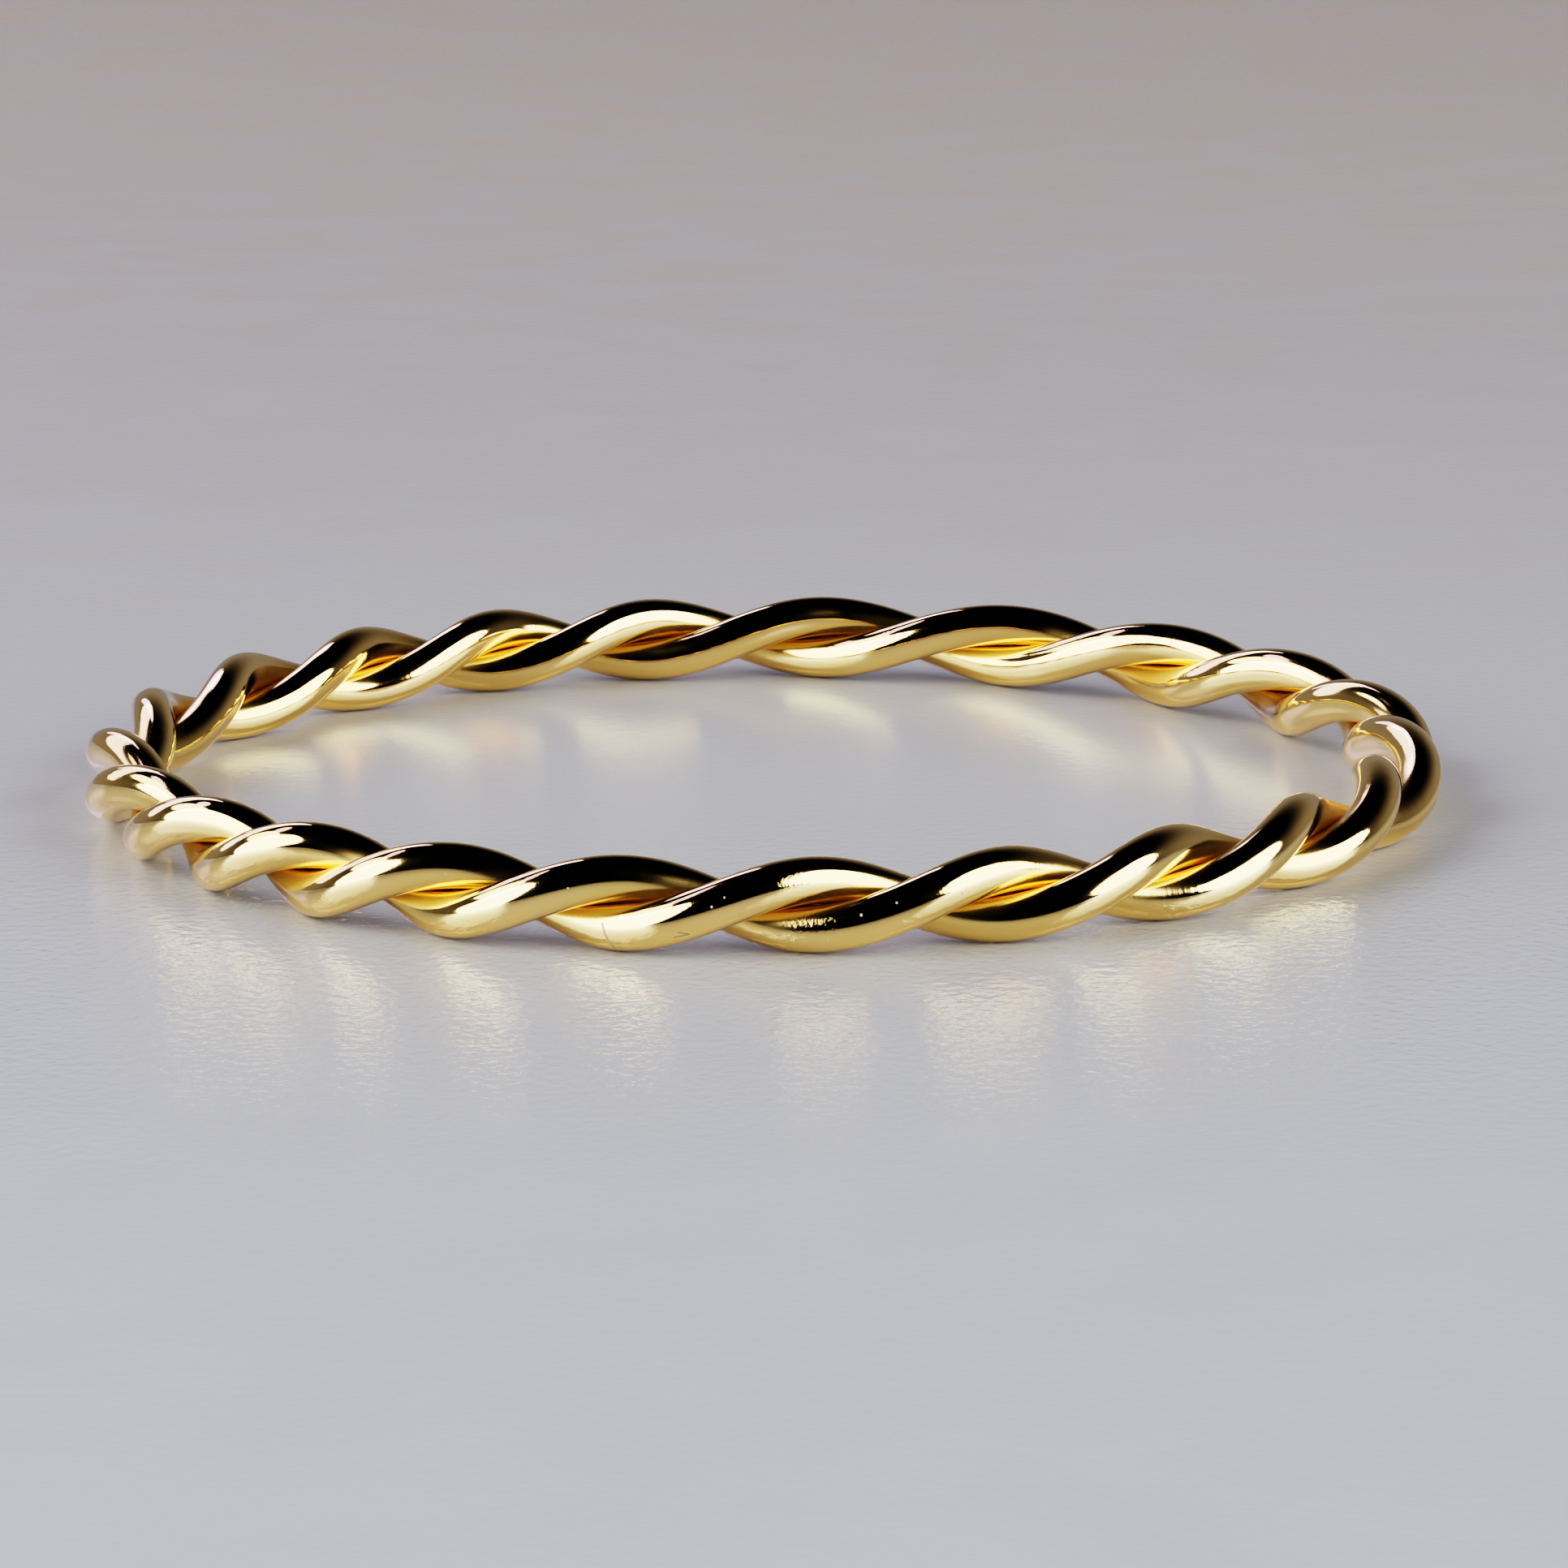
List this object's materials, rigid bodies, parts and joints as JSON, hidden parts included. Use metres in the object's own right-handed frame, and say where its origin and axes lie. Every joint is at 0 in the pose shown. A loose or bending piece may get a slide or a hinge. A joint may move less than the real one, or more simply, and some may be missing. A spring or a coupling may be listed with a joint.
{
  "type": "rope twist ring",
  "caption": "Finger ring of two round gold wires twisted together like a rope and closed to a hoop, lying on its side.",
  "frame": {"origin": "On the surface that the ring lies on, under the middle of the hoop.", "axes": "+Z is the hoop's axis, up from the surface; -Y is the front, with the tighter twist; the solder seams are at the back, at +Y; millimetre source, row in metres."},
  "size_m": [0.0199, 0.0198, 0.0013],
  "materials": {
    "yellow_gold": "polished yellow gold wire, bright, with fine handling marks"
  },
  "bodies": {
    "root": {"wire_strand_a": "yellow_gold", "wire_strand_b": "yellow_gold"}
  },
  "joints": []
}
